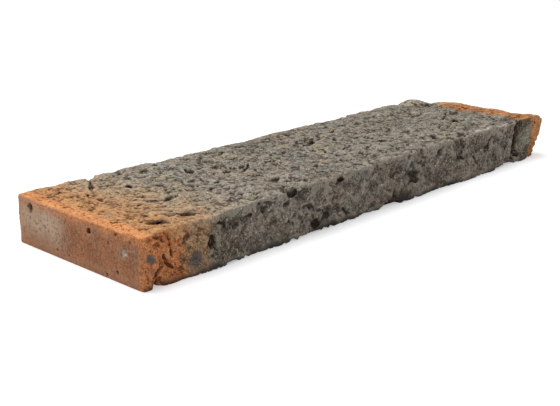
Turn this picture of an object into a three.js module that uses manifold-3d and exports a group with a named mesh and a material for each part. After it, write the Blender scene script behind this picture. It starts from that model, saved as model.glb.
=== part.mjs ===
// A long, thin, hand-moulded clay brick, dragged off rough on top and warped in the kiln.
//
// It is one piece of fired clay. Places on it are given in millimetres as along (from the near,
// sanded header), across (from the front stretcher face) and up (from the bed it lies on).

import * as THREE from 'three';
import { mergeVertices } from 'three/addons/utils/BufferGeometryUtils.js';
import { ImprovedNoise } from 'three/addons/math/ImprovedNoise.js';
import Module from 'manifold-3d';

const LENGTH = 500;          // near header to the middle of the far end
const WIDTH = 148;           // between the two stretcher faces
const THICKNESS = 38;        // bed to struck face
const ARRIS = 1.5;           // radius of the moulded arrises
const BED_ARRIS = 0.6;       // how far up the arrises of the bed are rounded
const NOSE = 3;              // radius worn on the near front corner

const FAR_SKEW = 14;         // the far end is this much out of square, longest at the front
const FAR_FOOT = 11;         // how far its foot draws in under it
const FAR_FOOT_TOP = 20;     // height at which the foot starts
const FAR_EASE = 5;          // how far its top arris is drawn in
const END_BLOCK = 28;        // length of the block that the far groove sets apart
const END_BLOCK_PROUD = 3;   // how far that block stands out of the front face
const NECK = 20;             // where the front face draws in behind the near corner
const NECK_DEPTH = 1.6;

// Height of the struck face's arrises over the nominal thickness, near the header and after that.
const FRONT_ARRIS = [0.7, 4];
const BACK_ARRIS = [1.1, -1.1];

// Each mound is [x, y, half length, half breadth, height] on its face.
const TOP_MOUNDS = [
  [488, 138, 22, 16, 2.6], [500, 96, 24, 24, 3.8], [500, 60, 20, 26, 1.5], [508, 20, 20, 30, -1.8],
  [450, 0, 26, 26, -2.2], [30, 0, 16, 16, 0.8], [64, 0, 16, 20, -1.6], [52, 148, 12, 22, 0.7],
  [142, 148, 14, 20, -0.8], [168, 148, 16, 20, 1.2], [358, 148, 18, 20, -1.4], [400, 148, 34, 30, -0.6],
  [446, 148, 26, 20, 1],
];
const FRONT_MOUNDS = [
  [64, 0, 34, 16, 2], [140, 2, 26, 16, 1.8], [297, 2, 26, 18, 2.4], [398, 0, 56, 26, 4.2],
  [474, 0, 20, 16, 2.8],
];

const BED = 0.3;             // level at which the board strikes the bed off flat
const BELLY = 1.5;           // clay that hangs under the bed before it is struck off

const CELLS = { along: 62, across: 18, up: 6 };

const { clamp, smoothstep, lerp, degToRad } = THREE.MathUtils;
const perlin = new ImprovedNoise();

/** A smooth wave over a face. Each layer number gives another pattern. */
function wave(a, b, wavelength, height, layer) {
  return height * perlin.noise(a / wavelength, b / wavelength, layer);
}

/** The height at a place where smooth mounds lie on a face. */
function mounds(places, x, y) {
  return places.reduce((height, [atX, atY, length, breadth, rise]) => {
    const reach = Math.hypot((x - atX) / length, (y - atY) / breadth);
    return height + rise * (1 - smoothstep(reach, 0.3, 1.1));
  }, 0);
}

/** Distance to grid line `line`: the first and last cell are only as wide as the arris. */
function station(line, cells, length) {
  if (line === 0) return 0;
  if (line === cells) return length;
  return ARRIS + (length - 2 * ARRIS) * (line - 1) / (cells - 2);
}

/** Draws a point that lies on two or three faces of the block in onto a round arris. */
function roundArris(point, radius) {
  const core = new THREE.Vector3(
    clamp(point.x, radius.x, LENGTH - radius.x),
    clamp(point.y, radius.y, WIDTH - radius.y),
    clamp(point.z, radius.z, THICKNESS - radius.z),
  );
  const reach = point.clone().sub(core).divide(radius);
  if (reach.length() > 1) reach.normalize();
  return reach.multiply(radius).add(core);
}

/** How far the struck face stands over the nominal thickness. */
function struckFace(along, across) {
  const rough = smoothstep(along, 4, 30);
  const front = lerp(...FRONT_ARRIS, smoothstep(along, 20, 130)) * (1 - smoothstep(across, 0, 100));
  const back = lerp(...BACK_ARRIS, smoothstep(along, 80, 200)) * smoothstep(across, 80, WIDTH);
  const drag = wave(along, across * 1.4, 58, 1.7, 3.5) + wave(along, across, 21, 1.1, 7.5);
  return front + back + mounds(TOP_MOUNDS, along, across) + rough * drag;
}

/** How far the front face stands out of its nominal plane. */
function frontFace(along, up) {
  const rough = smoothstep(along, 8, 40) * lerp(0.3, 1, smoothstep(up, 0, 14));
  const neckLength = smoothstep(along, NECK - 3, NECK + 1) * (1 - smoothstep(along, 34, 48));
  const neck = -NECK_DEPTH * neckLength * smoothstep(up, 2, 14);
  const block = smoothstep(along, LENGTH - END_BLOCK - 2, LENGTH - END_BLOCK + 6);
  const blockProud = END_BLOCK_PROUD * block * smoothstep(up, 2, 30);
  const waves = wave(along, up, 64, 1.8, 11.5) + wave(along, up, 19, 1.4, 13.5);
  return neck + blockProud + mounds(FRONT_MOUNDS, along, up) + rough * waves;
}

/** How far the back face stands out of its nominal plane. */
function backFace(along, up) {
  const rough = smoothstep(along, 8, 40);
  return rough * (wave(along, up, 70, 2, 23.5) + wave(along, up, 22, 1.5, 27.5));
}

/** How far the far end stands out of its nominal plane. */
function farEnd(across, up) {
  const skew = FAR_SKEW * (0.5 - smoothstep(across, 20, WIDTH - 13));
  const foot = -FAR_FOOT * (1 - smoothstep(up, -4, FAR_FOOT_TOP));
  const ease = -FAR_EASE * smoothstep(up, THICKNESS - 2, THICKNESS);
  return skew + foot + ease + wave(across, up, 30, 2, 31.5);
}

/** Moves a point of the square block to its place on the warped brick. */
function warp(point) {
  const radius = Math.hypot(point.x, point.y) < 2 * NOSE ? NOSE : ARRIS;
  const moved = roundArris(point, new THREE.Vector3(radius, radius, point.z < NOSE ? BED_ARRIS : ARRIS));
  const { x: along, y: across, z: up } = moved;
  const shareUp = up / THICKNESS;
  const shareFar = smoothstep(along, LENGTH - 40, LENGTH);
  const fromRim = Math.min(along, LENGTH - along, across, WIDTH - across);
  moved.z += shareUp * struckFace(along, across);
  if (up === 0) moved.z -= BELLY * smoothstep(fromRim, ARRIS, 2 * NOSE);
  moved.y += lerp(-frontFace(along, up), backFace(along, up), across / WIDTH);
  moved.x += shareFar * farEnd(across, up);
  return moved;
}

/** The square block as one grid, with every point warped. */
function warpedBlock() {
  const { along, across, up } = CELLS;
  const block = new THREE.BoxGeometry(along, across, up, along, across, up);
  block.translate(along / 2, across / 2, up / 2);
  const points = block.getAttribute('position');
  const point = new THREE.Vector3();
  for (let i = 0; i < points.count; i += 1) {
    point.fromBufferAttribute(points, i);
    point.x = station(Math.round(point.x), along, LENGTH);
    point.y = station(Math.round(point.y), across, WIDTH);
    point.z = station(Math.round(point.z), up, THICKNESS);
    const { x, y, z } = warp(point);
    points.setXYZ(i, x, y, z);
  }
  return block;
}

// A face's own frame has x to the right, y up the face and z out of it, and `level` tells how far
// the warped face stands out of that frame's plane.
const upright = new THREE.Matrix4().makeRotationX(Math.PI / 2);
const TOP = { frame: new THREE.Matrix4().makeTranslation(0, 0, THICKNESS), level: struckFace };
const FRONT = { frame: upright, level: frontFace };
const HEADER = { frame: new THREE.Matrix4().makeRotationZ(-Math.PI / 2).multiply(upright), level: () => 0 };
const BACK = {
  frame: new THREE.Matrix4().makeRotationZ(Math.PI).setPosition(LENGTH, WIDTH, 0).multiply(upright),
  level: (x, y) => backFace(LENGTH - x, y),
};

/** The clay missing from a pit: a jagged hollow, half of it under the face. */
function pit(face, [x, y, length, breadth, depth, turn = 0]) {
  const hollow = new THREE.IcosahedronGeometry(1, 1);
  const points = hollow.getAttribute('position');
  const point = new THREE.Vector3();
  for (let i = 0; i < points.count; i += 1) {
    point.fromBufferAttribute(points, i);
    point.multiplyScalar(1 + 0.9 * perlin.noise(1.6 * point.x + x, 1.6 * point.y + y, 1.6 * point.z));
    points.setXYZ(i, point.x, point.y, point.z);
  }
  hollow.scale(length / 2, breadth / 2, depth);
  hollow.rotateZ(degToRad(turn));
  hollow.translate(x, y, face.level(x, y));
  return hollow.applyMatrix4(face.frame);
}

/** The clay missing from a drying crack: a spindle along a curve, cut straight into the face. */
function crack(face, places, width, depth) {
  const steps = 4 * (places.length - 1);
  const curve = new THREE.SplineCurve(places.map(([x, y]) => new THREE.Vector2(x, y)));
  const sides = [[], []];
  for (let i = 0; i <= steps; i += 1) {
    const middle = curve.getPoint(i / steps);
    const tangent = curve.getTangent(i / steps);
    const half = 0.2 + width / 2 * Math.sin(Math.PI * i / steps) ** 0.6;
    const offset = new THREE.Vector2(-tangent.y, tangent.x).multiplyScalar(half);
    sides[0].push(middle.clone().add(offset));
    sides[1].unshift(middle.clone().sub(offset));
  }
  const outline = new THREE.Shape([...sides[0], ...sides[1]]);
  const { x, y } = curve.getPoint(0.5);
  const overshoot = 8;
  const blade = new THREE.ExtrudeGeometry(outline, { depth: depth + overshoot, bevelEnabled: false });
  return blade.translate(0, 0, face.level(x, y) - depth).applyMatrix4(face.frame);
}

// Each pit is [x, y, length, breadth, depth, turn in degrees] in its face's frame.
const TOP_PITS = [
  [66.5, 148, 12, 10, 4.4], [31, 20, 13, 8, 4.5, 10], [23, 123, 11, 6, 3.5, -40], [76, 57, 9, 8, 5],
  [72, 105, 8, 6, 3, 60],
  [134, 104, 16, 8, 3.5, 60], [162, 96, 12, 8, 3, 40], [158, 30, 16, 10, 3.5, 35], [193, 129, 13, 7, 3.5],
  [254, 41, 14, 7, 3.5, 50], [296, 87, 13, 9, 3.5, 60], [281, 58, 17, 6, 3, 10], [315, 48, 13, 9, 4],
  [313, 21, 13, 8, 3.5], [290, 42, 12, 8, 3, 30], [357, 22, 12, 9, 4.5], [358, 73, 15, 7, 4, 40],
  [390, 122, 30, 10, 4, -10], [358, 113, 14, 9, 3.5, 20], [430, 46, 22, 19, 3.5, 40],
  [405, 108, 12, 8, 3], [456, 136, 15, 9, 4, 30], [438, 141, 13, 9, 4], [277, 96, 20, 7, 3.5, 25],
];
const FRONT_PITS = [
  [64, 21, 5, 10, 6], [146, 39, 15, 8, 5], [173, 7, 11, 8, 3], [186, 11, 8, 5, 3.5], [201, 37, 14, 7, 4],
  [300, 19, 22, 17, 4], [310, 29, 13, 7, 2.5, -20], [338, 34, 13, 9, 5, 20], [370, 23, 13, 6, 5.5, -15],
  [374, 33, 9, 13, 3], [413, 24, 12, 9, 6, 30], [463, 8, 14, 9, 5],
];
const HEADER_PITS = [[-131.5, 31.5, 5, 6, 5], [-59, 30.5, 5, 3.5, 3, -20]];
const BACK_PITS = [
  [70, 30, 16, 9, 4, 20], [190, 12, 14, 8, 3], [300, 27, 20, 10, 4, -15], [420, 18, 12, 9, 3],
];

// Nicks in the bed's long arrises: [along, length, height].
const FRONT_NICKS = [[168, 22, 1.6], [236, 26, 2.6], [268, 24, 2.6], [443, 24, 2.6]];
const BACK_NICKS = [[95, 36, 3], [250, 44, 3.4], [400, 30, 3]];

/** The clay missing from a smooth scoop. */
function scoop(middle, halfLengths) {
  const hollow = new THREE.SphereGeometry(1, 10, 8);
  return hollow.scale(...halfLengths).translate(...middle);
}

/** A nick in a lower arris, nearly twice as deep into the bed as it is high. */
function nick(across, [along, length, height]) {
  return scoop([along, across, 0], [length / 2, height * 1.8, height]);
}

/** All that lies under the bed. */
function board() {
  const slab = new THREE.BoxGeometry(2 * LENGTH, 2 * WIDTH, 20);
  return slab.translate(LENGTH / 2, WIDTH / 2, BED - 10);
}

/** Everything that is missing from the warped block. */
function missingClay() {
  const foot = pit(FRONT, [13.5, 0, 10, 18, 9]);
  const neckCrack = crack(FRONT, [[23, 41], [25, 32], [26, 25], [29, 16]], 2, 5);
  const cornerCrack = crack(FRONT, [[17, 24], [22, 16], [31, 8]], 2.2, 3.5);
  const farGroove = crack(FRONT, [[456, 2], [459, 13], [463, 26], [467, 39]], 8, 10);
  const farCorner = scoop([LENGTH + 10, -3, THICKNESS + 3.5], [9, 8, 5]);
  const farNotch = scoop([496, 122, THICKNESS + 3.5], [20, 10, 5.7]);
  const lapFold = crack(TOP, [[63, 146], [60, 138], [54, 128], [45, 114]], 3.4, 5);
  const topCrack = crack(TOP, [[46, 30], [56, 22], [67, 15]], 2, 4);
  const dragFolds = [
    crack(TOP, [[260, 87], [275, 95], [291, 101]], 4, 3),
    crack(TOP, [[303, 104], [313, 107], [325, 112]], 2.8, 2.5),
    crack(TOP, [[150, 70], [170, 76], [186, 88]], 2.4, 2.5),
    crack(TOP, [[395, 66], [420, 60], [448, 70]], 2.6, 2.5),
  ];
  return [
    board(), foot, neckCrack, cornerCrack, farGroove, farCorner, farNotch, lapFold, topCrack, ...dragFolds,
    ...TOP_PITS.map((place) => pit(TOP, place)),
    ...FRONT_PITS.map((place) => pit(FRONT, place)),
    ...HEADER_PITS.map((place) => pit(HEADER, place)),
    ...BACK_PITS.map((place) => pit(BACK, place)),
    ...FRONT_NICKS.map((place) => nick(0, place)),
    ...BACK_NICKS.map((place) => nick(WIDTH, place)),
  ];
}

const wasm = await Module();
wasm.setup();

/** A closed three.js geometry as a solid. */
function solid(geometry) {
  const bare = geometry.clone().deleteAttribute('normal').deleteAttribute('uv');
  const merged = mergeVertices(bare, 1e-4);
  return new wasm.Manifold(new wasm.Mesh({
    numProp: 3,
    vertProperties: new Float32Array(merged.getAttribute('position').array),
    triVerts: new Uint32Array(merged.getIndex().array),
  }));
}

/** A solid as a three.js geometry. */
function surface(body) {
  const mesh = body.getMesh();
  const geometry = new THREE.BufferGeometry();
  geometry.setAttribute('position', new THREE.BufferAttribute(mesh.vertProperties, 3));
  geometry.setIndex(new THREE.BufferAttribute(mesh.triVerts, 1));
  return geometry;
}

const firedClay = new THREE.MeshStandardMaterial({ color: '#7e766b', roughness: 0.95, metalness: 0 });

const body = missingClay().reduce((left, hollow) => left.subtract(solid(hollow)), solid(warpedBlock()));
const shape = surface(body);
shape.computeBoundingBox();
const middle = shape.boundingBox.getCenter(new THREE.Vector3());
shape.translate(-middle.x, -middle.y, -shape.boundingBox.min.z);
shape.computeVertexNormals();

const brick = new THREE.Mesh(shape, firedClay);
brick.name = 'brick';

const clayBrick = new THREE.Group();
clayBrick.name = 'clay_brick';
clayBrick.add(brick);

export default clayBrick;
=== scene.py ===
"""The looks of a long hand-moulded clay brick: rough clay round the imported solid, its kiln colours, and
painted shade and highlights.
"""
import math

import bpy
import numpy as np
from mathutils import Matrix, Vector


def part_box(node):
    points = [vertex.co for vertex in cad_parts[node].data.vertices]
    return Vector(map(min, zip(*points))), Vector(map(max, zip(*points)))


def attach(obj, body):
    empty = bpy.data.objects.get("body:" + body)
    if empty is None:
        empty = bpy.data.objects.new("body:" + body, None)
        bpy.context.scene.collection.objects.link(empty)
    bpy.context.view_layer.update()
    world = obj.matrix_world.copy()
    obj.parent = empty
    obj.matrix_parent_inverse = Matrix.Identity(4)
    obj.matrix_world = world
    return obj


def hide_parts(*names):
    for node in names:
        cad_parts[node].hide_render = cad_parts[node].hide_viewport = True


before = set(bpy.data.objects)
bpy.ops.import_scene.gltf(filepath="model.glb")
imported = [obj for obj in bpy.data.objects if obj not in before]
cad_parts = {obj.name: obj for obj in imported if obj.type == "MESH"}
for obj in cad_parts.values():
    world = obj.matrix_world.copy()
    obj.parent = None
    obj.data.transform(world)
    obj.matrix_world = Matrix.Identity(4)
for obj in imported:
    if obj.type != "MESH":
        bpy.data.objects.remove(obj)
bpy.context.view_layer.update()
LOW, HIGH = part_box("brick")

MM = 0.001

# The brick's own places, in millimetres: along from the near header, across from the nominal front
# face, up from the bed.
HEADER_X = LOW.x / MM
FRONT_Y = -72.97
WIDTH = 148
ALONG, ACROSS, UP = 0, 1, 2
ON_TOP, ON_FRONT, ON_HEADER = (ALONG, ACROSS), (ALONG, UP), (ACROSS, UP)

# The photograph's camera: where it stands from the near header, the front face and the bed.
CAMERA_PLACE = Vector((HEADER_X - 400.6, FRONT_Y - 509.7, 266.4)) * MM
CAMERA_AZIMUTH = -46.28
CAMERA_ELEVATION = 17.54
SENSOR_WIDTH = 36
LENS = 66.36


# ---------------- noise

NOISE_GAIN = 1.9             # brings gradient noise to about -1 to 1
LATTICE_SHIFT = 0.37         # how far each seed moves the noise's lattice
HASH_RANGE = 4294967295      # the largest number of 32 bits


def hashed(cell, seed):
    """A repeatable number from 0 to 1 for each row of whole numbers in cell."""
    h = (cell[:, 0].astype(np.uint32) * np.uint32(0x8DA6B343)
         ^ cell[:, 1].astype(np.uint32) * np.uint32(0xD8163841)
         ^ cell[:, 2].astype(np.uint32) * np.uint32(0xCB1AB31F)
         ^ np.uint32(seed * 2654435 % 4294967291))
    h ^= h >> np.uint32(15)
    h *= np.uint32(0x2C1B3C6D)
    h ^= h >> np.uint32(12)
    h *= np.uint32(0x297A2D39)
    h ^= h >> np.uint32(15)
    return h.astype(np.float64) / HASH_RANGE


def hashed_vector(cell, seed):
    """Three repeatable numbers from 0 to 1 for each row of whole numbers in cell."""
    return np.stack([hashed(cell, seed + k) for k in range(3)], axis=1)


def dots(a, b):
    """The dot product of each row of a with the same row of b."""
    return np.einsum("ij,ij->i", a, b)


def noise(points, wavelength, seed):
    """Smooth gradient noise, about -1 to 1."""
    p = points / wavelength + seed * LATTICE_SHIFT
    base = np.floor(p)
    local = p - base
    fade = local ** 3 * (local * (local * 6 - 15) + 10)
    base = base.astype(np.int64)
    total = np.zeros(len(p))
    for corner in np.ndindex(2, 2, 2):
        corner = np.array(corner)
        gradient = hashed_vector(base + corner, seed * 3) * 2 - 1
        weight = np.prod(np.where(corner, fade, 1 - fade), axis=1)
        total += weight * dots(gradient, local - corner)
    return total * NOISE_GAIN


def fbm(points, wavelength, seed, octaves=3, gain=0.5):
    """Noise summed over octaves, each half as long as the last."""
    total = np.zeros(len(points))
    for k in range(octaves):
        total += gain ** k * noise(points, wavelength / 2 ** k, seed + 17 * k)
    return total


def noise_vector(points, wavelength, seed):
    """Smooth noise along each axis."""
    return np.stack([noise(points, wavelength, seed + 101 * k) for k in range(3)], axis=1)


def smoothstep(value, low, high):
    """0 below low, 1 above high, and an even curve between them."""
    t = np.clip((value - low) / (high - low), 0, 1)
    return t * t * (3 - 2 * t)


def mix(a, b, t):
    """a where t is 0, b where it is 1."""
    return a + (b - a) * t


def neighbours(p):
    """The cells round each point of p, one array of cells at a time."""
    base = np.floor(p).astype(np.int64)
    for offset in np.ndindex(3, 3, 3):
        yield base + np.array(offset) - 1


def pits(points, cell_size, chance, radii, seed):
    """1 at the bottom of scattered ragged hollows, 0 outside them. radii are shares of the cell."""
    flat_share = 0.6         # how much of a pit's radius is its flat bottom
    shallowest = 0.5         # depth of the smallest pit, as a share of the largest one's
    p = points / cell_size
    deepest = np.zeros(len(p))
    raggedness = 1 + 0.4 * noise(p, wavelength=0.3, seed=seed + 91)
    for cell in neighbours(p):
        present = hashed(cell, seed + 4) < chance
        centre = cell + hashed_vector(cell, seed)
        radius = mix(*radii, hashed(cell, seed + 3) ** 2)
        reach = np.linalg.norm(p - centre, axis=1) / radius * raggedness
        depth = present * (1 - smoothstep(reach, flat_share, 1.0)) * mix(shallowest, 1, radius / radii[1])
        deepest = np.maximum(deepest, depth)
    return deepest


def creases(points, wavelength, width, seed):
    """1 along thin wandering folds with gaps in them, 0 away from them."""
    line = fbm(points, wavelength, seed)
    fold = np.exp(-(line / width) ** 2)
    return fold * smoothstep(noise(points, wavelength * 1.5, seed + 57), 0, 0.3)


def tears(points, wavelength, seed, share):
    """1 at the bottom of torn hollows, 0 outside them. A lower share leaves more of them."""
    return smoothstep(fbm(points, wavelength, seed, gain=0.6), share, share + 0.5)


def plates(points, cell_size, seed):
    """Crumbs of torn clay: their heights, about -1 to 1, and 1 down the middle of the seams."""
    seam_width = 0.14        # as a share of the cell
    p = points / cell_size
    first = np.full(len(p), np.inf)
    second = first.copy()
    height = np.zeros(len(p))
    for cell in neighbours(p):
        centre = cell + hashed_vector(cell, seed)
        tilt = hashed_vector(cell, seed + 3) * 2 - 1
        reach = np.linalg.norm(p - centre, axis=1)
        nearer = reach < first
        second = np.where(nearer, first, np.minimum(second, reach))
        level = hashed(cell, seed + 6) * 1.4 - 0.7 + dots(p - centre, tilt)
        height = np.where(nearer, level, height)
        first = np.minimum(first, reach)
    return height, 1 - smoothstep(second - first, 0.0, seam_width)


def gouges(places, marks):
    """The depth of named hollows. Each mark is x, y, length, breadth, depth and turn in degrees."""
    floor_end, rim = 0.45, 1.15      # where a hollow's floor and the hollow end, as shares of its radius
    deepest = np.zeros(len(places))
    for x, y, length, breadth, depth, turn in marks:
        near = np.flatnonzero(np.abs(places - (x, y)).max(axis=1) < 0.7 * length)
        if not len(near):
            continue
        offset = places[near] - (x, y)
        cosine, sine = math.cos(math.radians(turn)), math.sin(math.radians(turn))
        u = offset[:, 0] * cosine + offset[:, 1] * sine
        v = offset[:, 1] * cosine - offset[:, 0] * sine
        # The mark's own place stands in for a third axis, so that each edge is ragged in its own way.
        edge = np.column_stack([places[near], np.full(len(near), x + y)])
        raggedness = 1 + 0.45 * noise(edge, wavelength=0.6 * length, seed=87)
        reach = np.hypot(u / (length / 2), v / (breadth / 2)) * raggedness
        deepest[near] = np.maximum(deepest[near], depth * (1 - smoothstep(reach, floor_end, rim)))
    return deepest


# ---------------- mesh helpers

def applied(obj, name, kind, **settings):
    """Adds a modifier to obj, with its settings, and applies it."""
    modifier = obj.modifiers.new(name, kind)
    for key, value in settings.items():
        setattr(modifier, key, value)
    graph = bpy.context.evaluated_depsgraph_get()
    result = bpy.data.meshes.new_from_object(obj.evaluated_get(graph))
    obj.modifiers.clear()
    old = obj.data
    obj.data = result
    bpy.data.meshes.remove(old)


def rows(items, field, width, kind=np.float32):
    """A field of all of a mesh's items, one row for each."""
    flat = np.empty(len(items) * width, dtype=kind)
    items.foreach_get(field, flat)
    return flat.reshape(-1, width)


def coordinates(mesh):
    """The vertices in millimetres, in the row frame."""
    return rows(mesh.vertices, "co", 3).astype(np.float64) / MM


def set_coordinates(mesh, points):
    """Puts the vertices at points, in millimetres."""
    mesh.vertices.foreach_set("co", (points * MM).astype(np.float32).ravel())
    mesh.update()


def normals(mesh):
    """The way each vertex faces."""
    return rows(mesh.vertex_normals, "vector", 3).astype(np.float64)


def edges(mesh):
    """The two vertices of each edge."""
    return rows(mesh.edges, "vertices", 2, np.int32)


def averaged(values, pairs, rounds):
    """values, one row per vertex, averaged with their neighbours several times."""
    count = np.bincount(pairs.ravel(), minlength=len(values))[:, None]
    for _ in range(rounds):
        total = np.stack([
            np.bincount(pairs[:, 0], weights=column[pairs[:, 1]], minlength=len(column))
            + np.bincount(pairs[:, 1], weights=column[pairs[:, 0]], minlength=len(column))
            for column in values.T
        ], axis=1)
        values = 0.5 * values + 0.5 * total / count
    return values


def unit(vectors):
    """vectors at length 1."""
    return vectors / np.linalg.norm(vectors, axis=1)[:, None]


def own_places(points):
    """Along, across and up of points in the row frame, all in millimetres."""
    return points[:, ALONG] - HEADER_X, points[:, ACROSS] - FRONT_Y, points[:, UP]


def own_pairs(points, first, second):
    """Two of along, across and up, side by side."""
    places = own_places(points)
    return np.stack([places[first], places[second]], axis=1)


class Spots:
    """Where points lie on the brick, and how much they belong to each of its faces.

    n is the way each point faces. A point's share in a face grows from 0 to 1 as n turns towards it,
    where n's part along the face's own way goes from low to high.
    """

    def __init__(self, points, n, low=0.45, high=0.85):
        self.points = points
        self.along, self.across, self.up = own_places(points)
        self.top = smoothstep(n[:, UP], low, high)
        self.bed = smoothstep(-n[:, UP], low, high)
        self.front = smoothstep(-n[:, ACROSS], low, high)
        self.back = smoothstep(n[:, ACROSS], low, high)
        self.near = smoothstep(-n[:, ALONG], low, high)
        self.side = np.maximum(self.front, self.back)

    # Each of these is 1 on its own side of the span from low to high, 0 on the other side, and a smooth
    # curve between. wander moves the places that it is worked out for.

    def before(self, low, high, wander=0):
        return 1 - self.past(low, high, wander)

    def past(self, low, high, wander=0):
        return smoothstep(self.along + wander, low, high)

    def ahead(self, low, high, wander=0):
        return 1 - self.behind(low, high, wander)

    def behind(self, low, high, wander=0):
        return smoothstep(self.across + wander, low, high)

    def under(self, low, high, wander=0):
        return 1 - self.over(low, high, wander)

    def over(self, low, high, wander=0):
        return smoothstep(self.up + wander, low, high)


# ---------------- named marks

# The way the struck face was wiped, in degrees from the brick's length, and the way square to it.
WIPE = -46
CROSS = 44

# Hollows, as x, y, length, breadth, depth and turn. On the top x is along and y across, on the
# front x is along and y up, on the header x is across and y up.
TOP_HOLLOWS = [
    (8, 32, 3, 3, 1, 0), (13, 15, 5, 6, 2, 0), (14, 111, 7, 3, 1.4, WIPE), (16, 62, 6, 3, 1.2, WIPE),
    (19, 31, 5, 3, 1.4, WIPE), (20, 69, 5, 4, 1.4, 0), (20, 122, 9, 5, 1.8, WIPE), (21, 101, 4, 3, 1.2, 0),
    (25, 30, 10, 2.5, 1, WIPE), (29, 19, 16, 11, 4.2, WIPE), (35, 107, 7, 4, 1.6, CROSS),
    (36, 93, 9, 6, 2, CROSS), (36, 118, 5, 4, 1.4, 0), (42, 86, 4, 3, 1.2, 0), (44, 48, 6, 5, 2, 0),
    (45, 139, 6, 5, 1.8, CROSS), (48, 61, 11, 3, 1.4, -40), (51, 20, 26, 4.5, 2.8, WIPE),
    (57, 35, 9, 3, 1.4, WIPE), (62, 79, 5, 4, 1.6, 0), (66, 103, 9, 6, 2, WIPE), (72, 24, 8, 3, 1.6, WIPE),
    (73, 57, 11, 7, 3.2, CROSS), (87, 77, 6, 3, 1.6, CROSS), (90, 65, 7, 5, 1.8, CROSS),
    (105, 38, 10, 3, 1.4, WIPE), (107, 128, 8, 5, 1.8, 50), (109, 85, 7, 4, 1.5, 60),
    (111, 52, 6, 5, 1.8, 0), (122, 133, 9, 5, 1.6, 60), (124, 59, 8, 4, 1.6, 50),
    (130, 101, 10, 6, 2.4, CROSS), (138, 44, 8, 6, 2, 60), (141, 5, 15, 8, 1.8, 60),
    (153, 79, 14, 7, 2.4, 50), (163, 126, 12, 7, 1.8, 20), (173, 83, 12, 6, 1.8, 40),
    (183, 46, 9, 6, 2, -30), (185, 129, 9, 6, 1.6, 0), (187, 71, 13, 4, 1.8, 50), (192, 64, 10, 4, 1.6, 50),
    (198, 13, 9, 5, 1.8, 60), (205, 7, 15, 6, 1.6, -60), (210, 33, 8, 5, 1.8, 0), (214, 88, 10, 5, 1.6, 40),
    (229, 122, 9, 5, 1.6, 40), (232, 92, 8, 6, 1.6, 0), (244, 47, 6, 5, 2.2, 0), (244, 79, 9, 5, 1.8, 30),
    (250, 44, 12, 5, 2.2, 60), (278, 58, 16, 5, 1.6, 10), (312, 48, 11, 8, 1.8, 0),
    (351, 23, 14, 5, 1.6, WIPE), (355, 73, 13, 6, 2, 45), (374, 129, 10, 6, 1.8, 10),
    (402, 108, 9, 5, 1.6, 20), (403, 45, 12, 5, 1.6, 15), (435, 55, 32, 3, 1.5, 78),
    (440, 118, 10, 6, 1.8, 20), (455, 22, 40, 3.2, 1.6, 69), (460, 42, 34, 2.6, 1.4, 88),
    (460, 101, 9, 5, 1.6, 15), (475, 61, 28, 2.6, 1.3, -83),
]
FRONT_HOLLOWS = [
    (6, 36, 6, 4, 1.6, 0), (10, 30, 4, 3, 1.2, 0), (12, 37, 5, 4, 1.8, 0), (13, 31, 5, 4, 1.4, 0),
    (14.5, 14, 24, 3.5, 2.4, 65), (15, 20, 4, 10, 1.2, 10), (17, 33.5, 7, 3.5, 1.8, -40),
    (23, 36, 6, 5, 2, 0), (41, 31, 7, 5, 2.2, 0), (62, 20, 6, 12, 2.4, 0), (71, 32, 7, 5, 2, 0),
    (86, 28, 6, 5, 2, 20), (99, 31, 7, 5, 2, 0), (115, 32, 8, 5, 2, 10), (138, 32, 7, 5, 1.8, 0),
    (142, 15, 6, 5, 1.8, 0), (165, 24, 12, 3, 1.8, -25), (178, 17, 12, 3, 1.8, -30), (183, 11, 6, 4, 2, 0),
    (210, 8, 13, 3, 1.8, -30), (297, 23, 9, 8, 1.8, 0), (390, 18, 10, 3, 1.8, -40),
    (410, 24, 8, 6, 1.8, 40), (412, 12, 6, 4, 1.8, 0), (418, 30, 8, 5, 1.8, 30), (428, 9, 6, 4, 1.6, 0),
    (445, 17, 7, 5, 1.8, 30), (462.5, 18, 44, 8, 3, 73),
]
HEADER_HOLLOWS = [
    (13, 32.8, 2.4, 2.4, 1.2, 0), (28, 7.8, 3.4, 3, 1.6, 0), (28, 35, 3, 2.6, 1.2, 0),
    (37, 27, 1.8, 4.5, 1, 0), (40, 2.6, 3.5, 2.4, 1.2, 0), (59, 30.7, 5, 3.5, 1.6, -20),
    (66, 21, 1.5, 1.5, 0.8, 0), (84.7, 5.2, 1.9, 1.8, 1, 0), (86.5, 30.8, 2, 1.8, 1.2, 0),
    (98.8, 6, 2.8, 2.4, 1.2, 0), (120, 17, 1.6, 1.6, 0.8, 0), (131.5, 31.6, 6, 7, 3.2, 0),
]

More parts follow.
